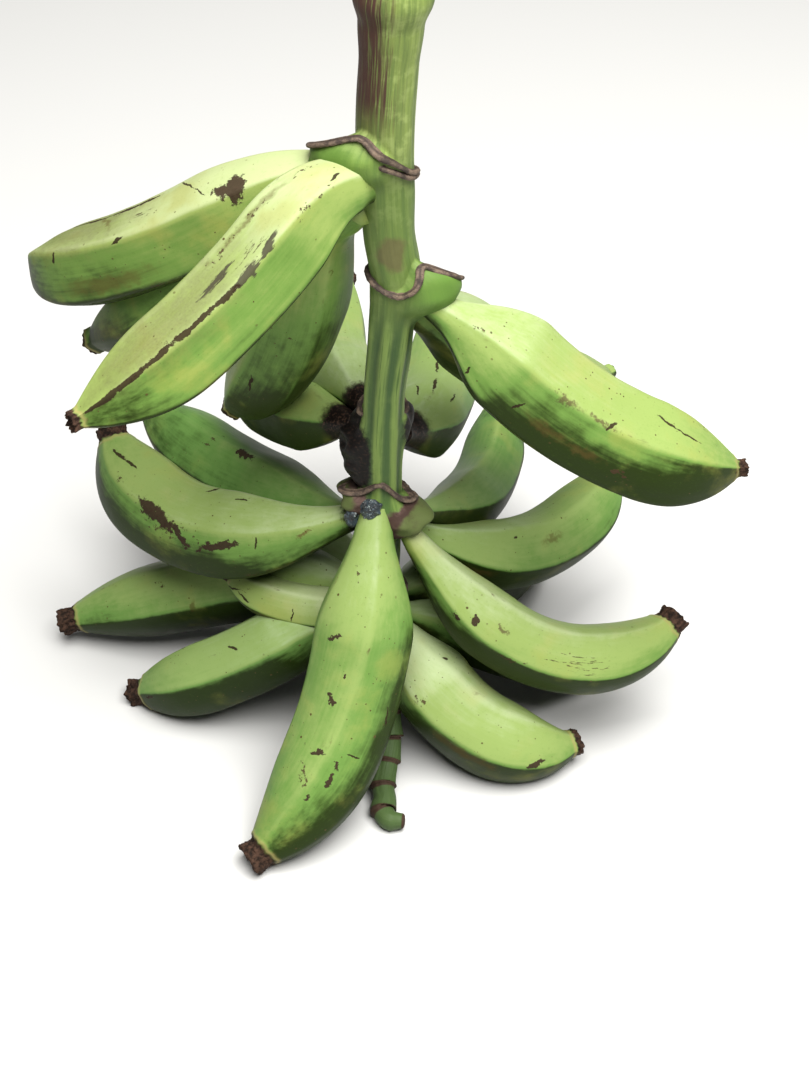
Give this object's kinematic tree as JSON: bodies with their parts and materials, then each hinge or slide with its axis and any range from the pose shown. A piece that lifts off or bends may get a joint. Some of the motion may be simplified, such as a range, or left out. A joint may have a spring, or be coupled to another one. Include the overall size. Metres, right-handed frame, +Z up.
{
  "type": "plantain bunch",
  "caption": "Cut bunch of green plantains: ribbed curved fingers grow in hands from a scarred stalk and the bunch stands on its lowest fingers and bent tail.",
  "frame": {"origin": "centre of the bounding box at floor level", "axes": "+Z up along the stalk towards its cut end; +X to the right of the bunch, the side of the big finger of the second hand; -Y towards the front, the side of the tail"},
  "size_m": [0.4269, 0.3507, 0.5457],
  "materials": {
    "stalk_bark": "matt fibrous green stalk with brown streaks",
    "skin_top_hand": "waxy yellow-green peel, satin",
    "skin_back_hand": "waxy dark green peel, satin",
    "skin_lower_hands": "waxy mid green peel, satin"
  },
  "bodies": {
    "root": {"stalk": "stalk_bark", "finger_1_1": "skin_top_hand", "finger_1_2": "skin_top_hand", "finger_1_3": "skin_top_hand", "finger_1_4": "skin_top_hand", "finger_2_1": "skin_top_hand", "finger_2_2": "skin_top_hand", "finger_3_1": "skin_back_hand", "finger_3_2": "skin_back_hand", "finger_3_3": "skin_back_hand", "finger_4_1": "skin_lower_hands", "finger_4_2": "skin_lower_hands", "finger_4_3": "skin_lower_hands", "finger_4_4": "skin_lower_hands", "finger_4_5": "skin_lower_hands", "finger_4_6": "skin_lower_hands", "finger_5_1": "skin_lower_hands", "finger_5_2": "skin_lower_hands", "finger_5_3": "skin_lower_hands", "finger_5_4": "skin_lower_hands", "finger_5_5": "skin_lower_hands", "finger_5_6": "skin_lower_hands", "finger_5_7": "skin_lower_hands"}
  },
  "joints": []
}
